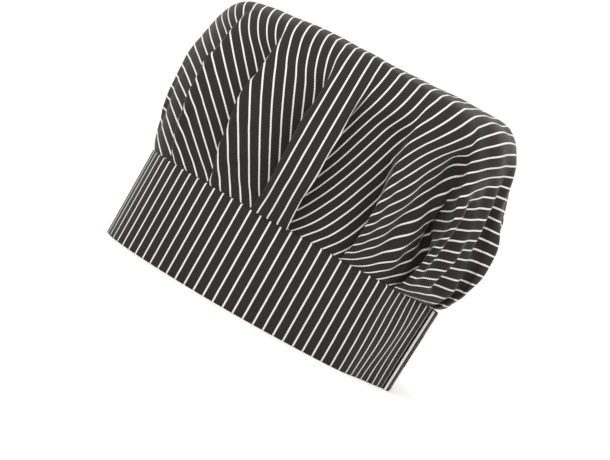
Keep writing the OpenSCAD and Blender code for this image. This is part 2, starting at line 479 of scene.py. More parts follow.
def new_material(name, **surface):
    """A material, its tree and its shader, with plain values on the shader's own sockets."""
    material = bpy.data.materials.new(name)
    material.use_nodes = True
    tree = material.node_tree
    shader = tree.nodes["Principled BSDF"]
    for key, value in surface.items():
        shader.inputs[key.replace("_", " ")].default_value = value
    return material, tree, shader


def pinstripe(name, across, shift):
    """Polyester-cotton twill, piece-dyed black with a woven white pinstripe.

    Matt, as spun yarn scatters light; the raised fibre ends give a faint grey sheen at grazing angles.
    """
    s = settings().stripe
    material, tree, shader = new_material(
        name, Roughness=0.88, IOR=1.46, Specular_IOR_Level=0.3, Sheen_Weight=0.1, Sheen_Roughness=0.4
    )
    place = node(tree, "ShaderNodeUVMap", uv_map="cloth")
    axes = node(tree, "ShaderNodeSeparateXYZ", {0: place}).outputs
    over, along = axes[across], axes[1 - across]
    # Yarns wander a little, so a stripe's edges aren't ruled lines.
    wander = node(tree, NOISE, {"Vector": place, "Scale": 160.0, "Detail": 2.0})
    drift = node(tree, MATH, {0: wander, 1: 0.22 * MM, 2: -0.11 * MM}, operation="MULTIPLY_ADD")
    moved = node(tree, MATH, {0: over, 1: drift}, operation="ADD")
    moved = node(tree, MATH, {0: moved, 1: shift}, operation="ADD")
    near = node(tree, MATH, {0: moved, 1: s.pitch / 2}, operation="PINGPONG")
    soft = 0.12 * MM
    fade = {0: near, 1: s.width / 2 - soft, 2: s.width / 2 + soft, 3: 1.0, 4: 0.0}
    stripe = node(tree, "ShaderNodeMapRange", fade, clamp=True)
    # The twill's diagonal ribs are 0.5 mm apart in such cloth, drawn 1.15 mm apart so that they show.
    rib = 1.15 * MM
    # The sum of both places grows by the square root of 2 times the way across the ribs.
    slant = node(tree, MATH, {0: over, 1: along}, operation="ADD")
    slant = node(tree, MATH, {0: slant, 1: math.sqrt(2) * math.pi / rib}, operation="MULTIPLY")
    wave = node(tree, MATH, {0: slant}, operation="SINE")
    # Across them lie the picks, 0.35 mm apart, drawn 0.7 mm apart.
    picks = node(tree, MATH, {0: along, 1: 2 * math.pi / (0.7 * MM)}, operation="MULTIPLY")
    picks = node(tree, MATH, {0: picks}, operation="SINE")
    weave = node(tree, MATH, {0: picks, 1: 0.35, 2: wave}, operation="MULTIPLY_ADD")
    fuzz = node(tree, NOISE, {"Vector": place, "Scale": 900.0, "Detail": 2.0})
    height = node(tree, MATH, {0: fuzz, 1: 1.4, 2: weave}, operation="MULTIPLY_ADD")
    cloud = node(tree, NOISE, {"Vector": place, "Scale": 34.0, "Detail": 3.0})
    cloud = node(tree, MATH, {0: cloud, 1: 0.25, 2: 0.87}, operation="MULTIPLY_ADD")
    tones = []
    # The ribs' shadows show more on the black yarn than on the white.
    for colour, depth, base in ((s.cloth, 0.45, 0.63), (s.colour, 0.12, 0.86)):
        shade = node(tree, MATH, {0: height, 1: depth, 2: base}, operation="MULTIPLY_ADD")
        shade = node(tree, MATH, {0: shade, 1: cloud}, operation="MULTIPLY")
        inputs = {0: 1.0, 6: colour, 7: shade}
        tones.append(node(tree, MIX, inputs, **TIMES).outputs[2])
    colour = node(tree, MIX, {0: stripe, 6: tones[0], 7: tones[1]}, data_type="RGBA").outputs[2]
    tree.links.new(colour, shader.inputs["Base Color"])
    bump = node(tree, "ShaderNodeBump", {"Strength": 0.25, "Distance": 0.08 * MM, "Height": height})
    tree.links.new(bump.outputs[0], shader.inputs["Normal"])
    return material


def colour_and_raise(tree, shader, colour, shade, height, strength, depth):
    """Gives the shader a colour that shade darkens, and a height that raises the surface by depth."""
    shaded = node(tree, MIX, {0: 1.0, 6: colour, 7: shade}, **TIMES).outputs[2]
    tree.links.new(shaded, shader.inputs["Base Color"])
    bump = node(tree, "ShaderNodeBump", {"Strength": strength, "Distance": depth, "Height": height})
    tree.links.new(bump.outputs[0], shader.inputs["Normal"])


def grainy(name, colour, grain_size, depth, spread=0.25, **surface):
    """A plain material with an even grain: noise of that size in mm changes its shade, and raises it."""
    material, tree, shader = new_material(name, **surface)
    place = node(tree, "ShaderNodeTexCoord").outputs["Object"]
    grain = node(tree, NOISE, {"Vector": place, "Scale": 1 / (grain_size * MM), "Detail": 3.0})
    shade = node(tree, MATH, {0: grain, 1: spread, 2: 1 - spread / 2}, operation="MULTIPLY_ADD")
    colour_and_raise(tree, shader, colour, shade, grain, 0.4, depth * MM)
    return material


def satin(name, colour):
    """Woven polyester satin ribbon: long floats of bright yarn across the ribbon give it a soft gloss."""
    material, tree, shader = new_material(name, Roughness=0.38, IOR=1.52, Anisotropic=0.5)
    place = node(tree, "ShaderNodeUVMap", uv_map="cloth")
    along = node(tree, "ShaderNodeSeparateXYZ", {0: place}).outputs[1]
    # Picks are 0.12 mm apart in such ribbon, drawn 0.5 mm apart so that they show.
    picks = node(tree, MATH, {0: along, 1: 2 * math.pi / (0.5 * MM)}, operation="MULTIPLY")
    picks = node(tree, MATH, {0: picks}, operation="SINE")
    grain = node(tree, NOISE, {"Vector": place, "Scale": 500.0, "Detail": 2.0})
    height = node(tree, MATH, {0: grain, 1: 1.5, 2: picks}, operation="MULTIPLY_ADD")
    shade = node(tree, MATH, {0: grain, 1: 0.12, 2: 0.9}, operation="MULTIPLY_ADD")
    colour_and_raise(tree, shader, colour, shade, height, 0.2, 0.03 * MM)
    return material


def make_materials():
    """All materials of the hat and the floor."""
    hat = settings()
    pinstripe("crown pinstripe twill", 1, hat.stripe.crown_shift)
    pinstripe("band pinstripe twill", 0, hat.stripe.band_shift)
    thread, closure = hat.thread, hat.closure
    # Bonded polyester fibre, calendered: white, matt and slightly felted, with a mottle of about 1.4 mm.
    grainy("nonwoven interfacing", hat.band.lining, 1.4, 0.10, Roughness=0.92, IOR=1.5, Sheen_Weight=0.1)
    # Spun polyester, twisted in two plies 0.7 mm apart: nearly as matt as the cloth.
    grainy("black sewing thread", thread.dark, 0.67, 0.04, 0.5, Roughness=0.62, IOR=1.5, Sheen_Weight=0.2)
    grainy("white sewing thread", thread.pale, 0.67, 0.04, 0.3, Roughness=0.6, IOR=1.5, Sheen_Weight=0.1)
    # Woven nylon ground, heat set, 0.9 mm from rib to rib: a little smoother than the cloth.
    grainy("black nylon tape", closure.tape_colour, 0.91, 0.08, 0.4, Roughness=0.55, IOR=1.53)
    # Nylon monofilament, drawn and cut: shiny on each hook.
    grainy("black nylon hooks", closure.hook_colour, 1.1, 0.02, 0.3, Roughness=0.32, IOR=1.53)
    # Brushed nylon filament: soft, with a velvety edge.
    grainy("black nylon pile", closure.pile_colour, 1.1, 0.04, 0.5, Roughness=0.8, IOR=1.53, Sheen_Weight=0.5)
    satin("white satin ribbon", hat.label.colour)
    # Matt paint, rolled, with a grain of 25 mm.
    grainy("pale matt floor", hat.stage.ground, 25, 0.05, 0.01, Roughness=0.85, IOR=1.45)


# ---------------------------------------------------------------- the crown's standing shape

# Pleats: place along the seam in mm, from the hat's right side towards the back, depth in mm (None for an
# even share of what is left), and which side lies on top: 1 for the side nearer the back, -1 the other.
PLEATS = (
    (-101.0, 22.0, 1),
    (-64.5, 24.0, 1),
    (-31.0, 30.0, 1),
    (-2.0, 28.0, -1),
    (31.0, 24.0, 1),
    (72.5, 37.0, 1),
    (118.5, 9.0, 1),
    (152.0, 15.0, -1),
    (190.0, None, 1),
    (227.0, None, 1),
    (265.0, None, 1),
    (303.0, None, 1),
    (342.0, None, 1),
    (381.0, None, 1),
    (425.0, None, 1),
)
BOX_PLEAT = 2  # the box pleat lies between this pleat and the next, and the stripes run along it
SEAM_LENGTH = 572.0  # length of the seam that these places are given for, in mm

# The crown's outline from the seam to the middle of the top: distance from the axis and height, in mm,
# for a band 208 mm long, 156 mm wide and 60 mm high.
FRONT_PROFILE = (
    (104, 60), (108.6, 72.6), (112.6, 85.6), (116, 106.5), (116.6, 125.6), (114.5, 140.6), (110.5, 155.4),
    (104.6, 166.9), (99.5, 171.2), (87, 174.2), (66, 175.6), (40.2, 177.3), (15.4, 179.4), (0, 180.5),
)
BACK_PROFILE = (
    (104, 60), (109, 63), (112, 67), (115.6, 80.6), (117.2, 99.6), (116.5, 115), (113.5, 129.5), (110, 142.9),
    (106.7, 156), (103.6, 166.7), (96.4, 177.6), (88.3, 182.3), (78.9, 183.9), (63.2, 184.1), (42.9, 183.2),
    (25.1, 181.7), (0, 180.5),
)
SIDE_PROFILE = (
    (78, 60), (90, 73), (100, 92), (107, 115), (107.5, 138), (104, 155), (98.5, 167), (91, 174), (78, 177),
    (50, 179.2), (0, 180.5),
)
PROFILE_LENGTH = 104.0  # half the length of that band
SHARES = np.linspace(0, 1, 200)
ROUND_POINTS = 361


def even_profile(profile, fit):
    """The profile as points at even shares of its length."""
    p = np.array(profile, float) * MM * fit
    run = np.r_[0, np.cumsum(np.hypot(*np.diff(p, axis=0).T))]
    return np.c_[np.interp(SHARES, run / run[-1], p[:, 0]), np.interp(SHARES, run / run[-1], p[:, 1])]


def ring_faces(rings, far):
    """Faces between rings of points, some of which have half as many points as the one before."""
    faces = []
    for row, ((b0, k0), (b1, k1)) in enumerate(zip(rings[:-1], rings[1:])):
        n0, n1 = len(k0), len(k1)
        for i in range(n1):
            j = (i + 1) % n1
            if n0 == n1:
                faces.append((far(row, i, b0 + i), b0 + j, b1 + j, far(row + 1, i, b1 + i)))
                continue
            faces.append((b0 + 2 * i, b0 + 2 * i + 1, b1 + i))
            faces.append((b0 + 2 * i + 1, b0 + (2 * i + 2) % n0, b1 + j))
            faces.append((b0 + 2 * i + 1, b1 + j, b1 + i))
    return faces


class CrownShape:
    """Where the pleated cloth stands before it settles."""

    # Shares of the way up from the seam to the middle:
    ROUND_BY = 1 / 3  # the crown has turned from the band's oval to its own by here
    SIDE_TO, SIDE_EASE = 0.56, 0.14  # layers lie sideways under one another up to here, and then below
    FOLLOWS_BAND = 0.06  # the crown follows the band's dents up to here
    TUCK = 0.012  # the cloth turns in over the band's edge below here
    OPEN_BY = 0.03  # a pleat has opened from its sewn thickness to its lift by here
    LOFT_TO = 0.5  # the pleats' extra loft is greatest halfway to here, and gone by here
    DIP = 0.4  # share of the tuck that the cloth dips by
    SEWN = 1.1  # distance of sewn layers, in thicknesses of the cloth
    CLOSES = 0.15  # layers close up where less than this share of the spare cloth is left
    DEEP = 24 * MM  # pleats at least this deep stand fully open
    NARROWEST = 0.75  # share of its width round the crown that the box pleat keeps at least
    SLIT_OPEN = 0.5 * MM  # half the width of the slit at its foot
    INNERMOST = 1.2  # radius of the smallest ring, in spacings of the grid
    CROWDED = 0.62  # a ring whose points lie closer than this share of the grid has half as many
    FEWEST = 16  # points in a ring

    def __init__(self, outline):
        self.outline = outline
        fit = outline.half_length / (PROFILE_LENGTH * MM)
        self.front = even_profile(FRONT_PROFILE, fit)
        self.back = even_profile(BACK_PROFILE, fit)
        self.side = even_profile(SIDE_PROFILE, fit)
        self.quarter = float(outline.length_at(90.0))
        self.unit = outline.round / (SEAM_LENGTH * MM)
        centre = sum(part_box("slit_bartack"), Vector()) / 2
        slit_angle = math.degrees(math.atan2(centre.x, centre.y - outline.end_y))
        self.slit_angle = slit_angle
        self.slit_place = self.quarter - float(outline.length_at(slit_angle))
        self.slit_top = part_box("slit_bartack")[0].z

    def seam(self, place):
        """Seam points, and how far the cloth there is moved in or out from the plain outline."""
        t = self.outline.angle_at(self.quarter - place)
        round_slit = self.slit_angle + np.mod(t - self.slit_angle, 360.0)
        shift = self.outline.bow(t, self.outline.height) - self.outline.lap(round_slit)
        return self.outline.at(t), shift

    def body(self, place, f, level):
        """Points at places along the seam, f of the way up to the middle, level under the surface."""
        o, shift = self.seam(place)
        cx, cy = o[:, 0] / self.outline.half_width, o[:, 1] / self.outline.half_length
        back = smooth(0.5 + 2 * cy)

        def at(profile, i):
            return np.interp(f, SHARES, profile[:, i])

        ry = at(self.front, 0) * (1 - back) + at(self.back, 0) * back
        zy = at(self.front, 1) * (1 - back) + at(self.back, 1) * back
        rx, zx = at(self.side, 0), at(self.side, 1)
        w = np.clip(f / self.ROUND_BY, 0, 1)
        turn = 1 - w + w * np.hypot(cx, cy)
        kx, ky = cx / turn, cy / turn
        z = (zy * cy**2 + zx * cx**2) / (cy**2 + cx**2)
        points = np.c_[rx * kx, ry * ky, z]
        side = np.clip((self.SIDE_TO - f) / self.SIDE_EASE, 0, 1)
        out = np.c_[kx / np.maximum(rx, MM), ky / np.maximum(ry, MM), np.zeros(len(kx))]
        out /= np.linalg.norm(out, axis=1)[:, None].clip(1e-9)
        up = out * side[:, None] + np.array([0, 0, 1]) * (1 - side)[:, None]
        up /= np.linalg.norm(up, axis=1)[:, None]
        near = np.clip(1 - f / self.FOLLOWS_BAND, 0, 1) ** 2
        tucked = settings().crown.tuck_in * np.clip(1 - f / self.TUCK, 0, 1)
        points -= up * level[:, None]
        points += out * (shift * near - tucked)[:, None]
        points[:, 2] -= self.DIP * tucked
        return points

    def perimeter(self, f):
        """Length round the crown at that share of the way up."""
        place = np.linspace(0, self.outline.round, ROUND_POINTS)
        p = self.body(place, np.full(ROUND_POINTS, f), np.zeros(ROUND_POINTS))
        return np.linalg.norm(np.diff(p, axis=0), axis=1).sum()

    def folds(self, r):
        """At radius r of the disc: angles of its creases, their places along the seam and their levels."""
        c = settings().crown
        f = (c.flat_radius - r) / c.flat_radius
        rim_length = self.rim_length
        spare = max(0.0, 2 * math.pi * r - self.perimeter(f))
        around = self.perimeter(f) if spare else 2 * math.pi * r
        all_spare = 2 * math.pi * c.flat_radius - rim_length
        depths = [d * spare / all_spare for d in self.depths]
        sewn = c.thickness * self.SEWN
        lift = sewn + (c.lift - sewn) * smooth(f / self.OPEN_BY)
        lift += c.loft * math.sin(math.pi * min(1, f / self.LOFT_TO))
        lift *= min(1, spare / (self.CLOSES * all_spare))
        # The box pleat keeps its width, so it takes up less of the way round as the crown gets wider.
        pleats = list(self.places)
        wide = pleats[BOX_PLEAT + 1] - pleats[BOX_PLEAT]
        pleats[BOX_PLEAT] = pleats[BOX_PLEAT + 1] - wide * min(1.0, max(self.NARROWEST, rim_length / around))
        after = pleats[1:] + [pleats[0] + self.outline.round]
        arcs, places, levels = [], [], []
        run = 0.0
        for k, (_, _, way) in enumerate(PLEATS):
            at = pleats[k]
            reach = depths[k] * self.outline.round / around
            # A shallow pleat can't stand as far open as a deep one.
            under = 2 * lift * min(1.0, self.depths[k] / self.DEEP)
            if way > 0:
                crease = [(at, under), (at + reach, under), (at, 0.0)]
            else:
                under += lift and 2 * sewn
                crease = [(at, 0.0), (at - reach, under), (at, under)]
            for i, (place, level) in enumerate(crease):
                arcs.append(run + depths[k] * i)
                places.append(place)
                levels.append(level)
            run += 2 * depths[k] + (after[k] - at) * around / self.outline.round
        arcs.append(run)
        places.append(pleats[0] + self.outline.round)
        levels.append(levels[0])
        arcs = np.array(arcs)
        middle = (arcs[BOX_PLEAT * 3 + 2] + arcs[BOX_PLEAT * 3 + 3]) / 2
        return (arcs - middle) / run * 2 * math.pi, np.array(places), np.array(levels)

    def mesh(self):
        """Standing points, their places on the flat disc, faces, rim points and the point over the slit."""
        c = settings().crown
        self.rim_length = self.perimeter(0.0)
        self.places = [p[0] * MM * self.unit for p in PLEATS]
        given = sum(p[1] * MM for p in PLEATS if p[1])
        left = (2 * math.pi * c.flat_radius - self.rim_length) / 2 - given
        even = left / sum(1 for p in PLEATS if p[1] is None)
        self.depths = [p[1] * MM if p[1] else even for p in PLEATS]
        creases = self.folds(c.flat_radius)[0]
        columns = []
        for a, b in zip(creases[:-1], creases[1:]):
            count = max(2, round((b - a) * c.flat_radius / c.grid))
            count += count % 2
            columns += [a + (b - a) * i / count for i in range(count)]
        columns = np.array(columns)
        rim_places = np.interp(columns, creases, self.folds(c.flat_radius)[1])
        slit_column = int(np.argmin(abs(rim_places - self.slit_place)))
        keep = np.arange(len(columns))
        points, flat, rings = [], [], []
        slit_rows, other_side = 0, []
        r = c.flat_radius
        while r > self.INNERMOST * c.grid:
            crowded = 2 * math.pi * r / len(keep) < self.CROWDED * c.grid
            if crowded and len(keep) % 2 == 0 and len(keep) > self.FEWEST:
                keep = keep[::2]
            angles, places, levels = self.folds(r)
            a = columns[keep]
            wrapped = np.mod(a - angles[0], 2 * math.pi) + angles[0]
            place, level = np.interp(wrapped, angles, places), np.interp(wrapped, angles, levels)
            f = np.full(len(place), (c.flat_radius - r) / c.flat_radius)
            ring = self.body(place, f, level)
            if slit_rows == len(rings) and ring[slit_column, 2] < self.slit_top:
                rise = self.slit_top - self.outline.height
                apart = self.SLIT_OPEN * (self.slit_top - ring[slit_column, 2]) / rise
                sides = place[slit_column] + np.array([-apart, apart])
                both = self.body(sides, f[:2], level[[slit_column] * 2])
                ring[slit_column] = both[0]
                other_side.append((both[1], r, a[slit_column]))
                slit_rows += 1
            rings.append((len(points), keep.copy()))
            points += ring.tolist()
            flat += np.c_[r * np.cos(a), r * np.sin(a), np.zeros(len(a))].tolist()
            r -= c.grid
        middle = len(points)
        points.append(self.body(np.zeros(1), np.ones(1), np.zeros(1))[0].tolist())
        flat.append([0.0, 0.0, 0.0])
        points[middle][:2] = [0.0, 0.0]
        first_other = len(points)
        for p, radius, a in other_side:
            points.append(p.tolist())
            flat.append([radius * math.cos(a), radius * math.sin(a), 0.0])

        def far(row, column, index):
            """The slit's far side for faces that lie beyond it."""
            return first_other + row if row < slit_rows and column == slit_column else index

        faces = ring_faces(rings, far)
        base, last = rings[-1]
        faces += [(base + i, base + (i + 1) % len(last), middle) for i in range(len(last))]
        rim = list(range(len(columns))) + [first_other]
        over_slit = rings[slit_rows][0] + slit_column
        return np.array(points), np.array(flat), faces, rim, over_slit


# Crisp twill: it hardly stretches and bends a little. Pins are soft, so that the folds can move.
TWILL = {
    "quality": 6,
    "mass": 0.02,
    "tension_stiffness": 80,
    "compression_stiffness": 80,
    "shear_stiffness": 27,
    "bending_stiffness": 1,
    "tension_damping": 5,
    "compression_damping": 5,
    "shear_damping": 5,
    "bending_damping": 0.5,
    "air_damping": 1,
    "pin_stiffness": 5,
}
# Layers of a pleat rest on one another and grip.
LAYERS = {
    "use_collision": False,
    "use_self_collision": True,
    "self_distance_min": 1.0 * MM,
    "collision_quality": 2,
    "self_friction": 5,
}
LITTLE_GRAVITY = 0.02
PRESSED, LOOSE = 0.95, 0.3  # how firmly the folded shape is kept, in the top and at the sides
PRESSED_RADIUS, PRESSED_EDGE = 130 * MM, 25 * MM


def settle(obj, flat, rim, steps):
    """Lets the cloth settle from its folded shape towards its flat cut, held along the seam."""
    obj.shape_key_add(name="folded", from_mix=False)
    cut = obj.shape_key_add(name="flat", from_mix=False)
    cut.data.foreach_set("co", flat.ravel())
    held = obj.vertex_groups.new(name="held")
    radius = np.hypot(flat[:, 0], flat[:, 1])
    # The top was pressed flat, so it keeps its shape; the sides are freer.
    inner = np.clip((PRESSED_RADIUS - radius) / PRESSED_EDGE, 0, 1)
    pressed = np.maximum(inner * PRESSED, LOOSE)
    for i, weight in enumerate(pressed):
        held.add([i], float(weight), "REPLACE")
    held.add(rim, 1.0, "REPLACE")
    cloth = obj.modifiers.new("cloth", "CLOTH")
    for name, value in TWILL.items():
        setattr(cloth.settings, name, value)
    for name, value in LAYERS.items():
        setattr(cloth.collision_settings, name, value)
    cloth.settings.vertex_group_mass = held.name
    cloth.settings.rest_shape_key = cut
    cloth.settings.effector_weights.gravity = LITTLE_GRAVITY
    scene = bpy.context.scene
    scene.frame_start, scene.frame_end = 1, steps + 1
    cloth.point_cache.frame_start, cloth.point_cache.frame_end = 1, steps + 1
    for step in range(1, steps + 1):
        scene.frame_set(step)
    shaped = obj.evaluated_get(bpy.context.evaluated_depsgraph_get())
    settled = np.empty(len(flat) * 3)
    shaped.data.vertices.foreach_get("co", settled)
    obj.modifiers.clear()
    obj.shape_key_clear()
    obj.data.vertices.foreach_set("co", settled)
    obj.data.update()
    scene.frame_set(1)
    return obj


CALMED = 24 * MM  # radius of the disc's middle that is laid smooth
RING_TO = 1.8  # in those radii: a curved surface is fitted to the ring from 1 to here
CALM_TO, CALM_FADE = 1.5, 0.8  # and followed up to here, fading out over this


def calm_middle(obj, flat, radius):
    """Lays the middle of the disc smooth, where the grid's rings are too small to settle well."""
    count = len(flat)
    co = np.empty(count * 3)
    obj.data.vertices.foreach_get("co", co)
    co = co.reshape(-1, 3)
    r = np.hypot(flat[:, 0], flat[:, 1])
    terms = np.c_[np.ones(count), flat[:, :2], flat[:, 0] ** 2, flat[:, 1] ** 2, flat[:, 0] * flat[:, 1]]
    ring = (r > radius) & (r < RING_TO * radius)
    fit = np.linalg.lstsq(terms[ring], co[ring], rcond=None)[0]
    share = smooth((CALM_TO * radius - r) / (CALM_FADE * radius))[:, None]
    co += (terms @ fit - co) * share
    obj.data.vertices.foreach_set("co", co.ravel())
    obj.data.update()


def unevenness(points):
    """Low, irregular waves between about -1.6 and 1.6, some 40 to 130 mm long and bent by longer ones."""
    x, y, z = (points / MM).T
    wave = np.sin(x * 0.11 + 1.3 * np.sin(z * 0.045)) * np.sin(y * 0.09 + 1.1 * np.sin(x * 0.05 + 1.0))
    wave += 0.6 * np.sin(z * 0.16 + y * 0.12 + 1.4 * np.sin(y * 0.07)) * np.sin(x * 0.14 - z * 0.06)
    return wave


# The gathers' waves: share of their depth, waves in a full turn, rise in mm for a radian, and phase.
GATHERS = ((1.0, 21, 27, 0.0), (0.45, 37, -19, 0.0), (0.8, 12, -40, 1.0))
# Where the cloth starts to be slack, and over what distance that grows or fades.
SLACK_BACK, SLACK_BACK_OVER = 30 * MM, 50 * MM  # behind the crown's middle
SLACK_MORE = 1.6  # share by which the back is more uneven
SMOOTH_SEAM = 4 * MM  # above the band, where the cloth is still held smooth
UNEVEN_OVER, GATHER_OVER = 20 * MM, 14 * MM  # above that
GATHER_TOP, GATHER_TOP_OVER = 165 * MM, 60 * MM  # height where the gathers end


def rumple(obj, keep_below):
    """Adds the unevenness and the gathers of worn cloth, which fade out towards the seam."""
    mesh = obj.data
    count = len(mesh.vertices)
    co, normals = np.empty(count * 3), np.empty(count * 3)
    mesh.vertices.foreach_get("co", co)
    mesh.vertices.foreach_get("normal", normals)
    co, normals = co.reshape(-1, 3), normals.reshape(-1, 3)
    c = settings().crown
    back = smooth((co[:, 1] - SLACK_BACK) / SLACK_BACK_OVER)
    above = co[:, 2] - keep_below
    amount = c.wrinkle * (1 + SLACK_MORE * back) * smooth(above / UNEVEN_OVER)
    # Gathers fan out from the seam where the crown hangs slack at the back, through all layers alike.
    turn, z = np.arctan2(co[:, 0], co[:, 1]), co[:, 2]
    fan = sum(share * np.sin(turn * often + z / (rise * MM) + phase) for share, often, rise, phase in GATHERS)
    low = smooth(above / GATHER_OVER) * smooth((GATHER_TOP - z) / GATHER_TOP_OVER)
    outward = co * np.array([1.0, 1.0, 0.0])
    outward /= np.linalg.norm(outward, axis=1)[:, None].clip(MM)
    co += normals * (unevenness(co) * amount)[:, None] + outward * (c.gather * fan * low * back)[:, None]
    mesh.vertices.foreach_set("co", co.ravel())
    mesh.update()


# ---------------------------------------------------------------- the band's pieces


NEAR_END = np.array([0.35, 0.9, 1.8]) * MM  # extra rows of points at these distances from an end
PINCHED = 0.3  # how open a strip is where its end is stitched shut
PINCH_OVER = 1.8 * MM  # the length in which it opens


def spaced(start, end, step, ends=()):
    """Distances from start to end about a step apart, with closer ones near the named ends."""
    count = max(2, round((end - start) / step))
    even = np.linspace(start, end, count + 1)
    extra = [start + NEAR_END] * ("start" in ends) + [end - NEAR_END] * ("end" in ends)
    return np.unique(np.concatenate([even] + extra))


def pinch(distances, start, end, ends):
    """How open a strip is at each distance, from where its end is turned in and stitched shut, to 1."""
    open_ = np.ones(len(distances))
    for name, away in (("start", distances - start), ("end", end - distances)):
        if name in ends:
            opening = np.sqrt(np.clip(away / PINCH_OVER, 0, 1))
            open_ = np.minimum(open_, PINCHED + (1 - PINCHED) * opening)
    return open_


def folded_section(top, turned_in):
    """(depth, height) points of a strip folded at its foot, from the outer ply's top, down and up again."""
    b = settings().band
    half = b.cloth / 2
    middle = -b.thickness / 2
    r = (b.thickness - b.cloth) / 2
    foot = r + half
    fold = [(middle + r * math.cos(a), foot - r * math.sin(a)) for a in np.linspace(0, math.pi, 9)]
    head = top - foot
    if turned_in:
        over = [(middle + r * math.cos(a), head + r * math.sin(a)) for a in np.linspace(math.pi / 2, 0, 5)]
        under = [(2 * middle - d, z) for d, z in reversed(over)]
    else:
        rolled = ((1.0, 0.5), (0.55, 0.05), (0.25, 0.35))
        over = [(-share * b.roll, top - drop * MM) for share, drop in rolled] + [(-half, top - b.roll)]
        under = [(2 * middle + half, top - b.roll), (2 * middle + half, top - 0.6 * MM)]
        head = top - b.roll
    count = round((head - foot) / b.grid)
    rise = np.linspace(foot, head, count + 1)[1:-1]
    down = [(-half, z) for z in rise[::-1]]
    up = [(2 * middle + half, z) for z in rise]
    return np.array(over + down + fold + up + under)


def folded_strip(name, outline, place, start, end, top, turned_in, ends):
    """A strip of cloth folded over its stiffener, between two distances round the band."""
    b = settings().band
    section = folded_section(top, turned_in)
    wide = np.r_[0, np.cumsum(np.hypot(*np.diff(section, axis=0).T))]
    distances = spaced(start, end, b.grid, ends)
    open_ = pinch(distances, start, end, ends)
    t = outline.angle_at(distances)
    middle = -b.thickness / 2
    verts, flat = [], []
    for (depth, z), across in zip(section, wide):
        verts.append(place(t, middle + (depth - middle) * open_, np.full(len(t), z)))
        flat.append(np.c_[distances, np.full(len(t), across)])
    obj = make_object(
        name, np.concatenate(verts), grid_faces(len(section), len(t)), np.concatenate(flat)
    )
    return thicken(obj, b.cloth), 2 * top, end - start


def plain_sheet(name, outline, place, start, end, profile, thickness, step, ripple=None):
    """A sheet between two distances round the band; profile gives its (depth, height) points."""
    distances = spaced(start, end, step)
    t = outline.angle_at(distances)
    run = np.r_[0, np.cumsum(np.hypot(*np.diff(np.array(profile), axis=0).T))]
    verts, flat = [], []
    for (depth, z), across in zip(profile, run):
        wave = ripple(distances, z) if ripple else 0.0
        verts.append(place(t, np.full(len(t), depth) + wave, np.full(len(t), z)))
        flat.append(np.c_[distances, np.full(len(t), across)])
    obj = make_object(name, np.concatenate(verts), grid_faces(len(profile), len(t)), np.concatenate(flat))
    return thicken(obj, thickness)


def upright(depth, low, high, count):
    """A straight profile of (depth, height) points."""
    return [(depth, z) for z in np.linspace(low, high, count)]


def finish_piece(obj, material, slot, body, *nodes):
    """Gives a piece its material and body, and hides the nodes that it stands for; slot is not used."""
    obj.data.materials.append(bpy.data.materials[material])
    if body:
        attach(obj, body)
    if nodes:
        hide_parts(*nodes)
    return obj


def bend_with_tab(obj, outline):
    """Bakes a piece's transform into its mesh; nothing is bent."""
    root = outline.at(outline.tab_from)[0]
    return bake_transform(obj)


class Lap:
    """Distances round the band of the closure's pieces, from the middle of the back."""

    def __init__(self, outline):
        c = settings().closure
        self.tab_end = float(outline.length_at(outline.tab_to))
        self.root = float(outline.length_at(outline.tab_from))
        self.under = self.tab_end - c.under
        self.meet = self.root + outline.round
        self.hook = (self.tab_end - 2 * c.inset - c.hook, self.tab_end - 2 * c.inset)
        self.loop = (self.tab_end - 1 * MM - c.loop, self.tab_end - 1 * MM)
        self.tape_low = (outline.height - c.tape) / 2
        self.tape_high = self.tape_low + c.tape


def rectangle(a0, a1, z0, z1):
    """Corners of a rectangle of stitches."""
    return [(a0, z0), (a1, z0), (a1, z1), (a0, z1), (a0, z0)]


def off(outline, place, depth):
    """A function for points at distances round the band, standing off the surface at that depth."""
    return lambda a, out, z: place(outline.angle_at(a), depth + out, z)


def sew(name, corners, place, body, node_name, side=1.0, kind="black", stitch=None):
    """A line of lockstitches in the thread of that kind, for the CAD's thread of that name."""
    h = settings().thread
    sewn = make_object(name, *stitches(corners, place, stitch or h.stitch, h.radius, side))
    return finish_piece(sewn, f"{kind} sewing thread", f"{kind}_thread", body, node_name)


# ---------------------------------------------------------------- operators


class TOQUE_OT_materials(bpy.types.Operator):
    """Make the cloth, thread, tape, ribbon and floor materials"""

    bl_idname = "toque.materials"
    bl_label = "Materials"

    def execute(self, context):
        make_materials()
        return {"FINISHED"}


class TOQUE_OT_crown(bpy.types.Operator):
    """Pleat the round piece of cloth into the seam and let it settle"""

    bl_idname = "toque.crown"
    bl_label = "Crown"

    def execute(self, context):
        c = settings().crown
        outline = Outline()
        points, flat, faces, rim, over_slit = CrownShape(outline).mesh()
        crown = make_object("pleated_crown", points, faces, flat)
        settle(crown, flat, rim, c.steps)
        calm_middle(crown, flat, CALMED)
        round_off = crown.modifiers.new("round off", "SUBSURF")
        round_off.levels = round_off.render_levels = 1
        crown["slit_top"] = list(crown.data.vertices[over_slit].co)
        apply_modifiers(crown)
        rumple(crown, outline.height + SMOOTH_SEAM)
        thicken(crown, c.thickness)
        finish_piece(crown, "crown pinstripe twill", "striped_cloth", "hat", "crown_cloth")
        return {"FINISHED"}


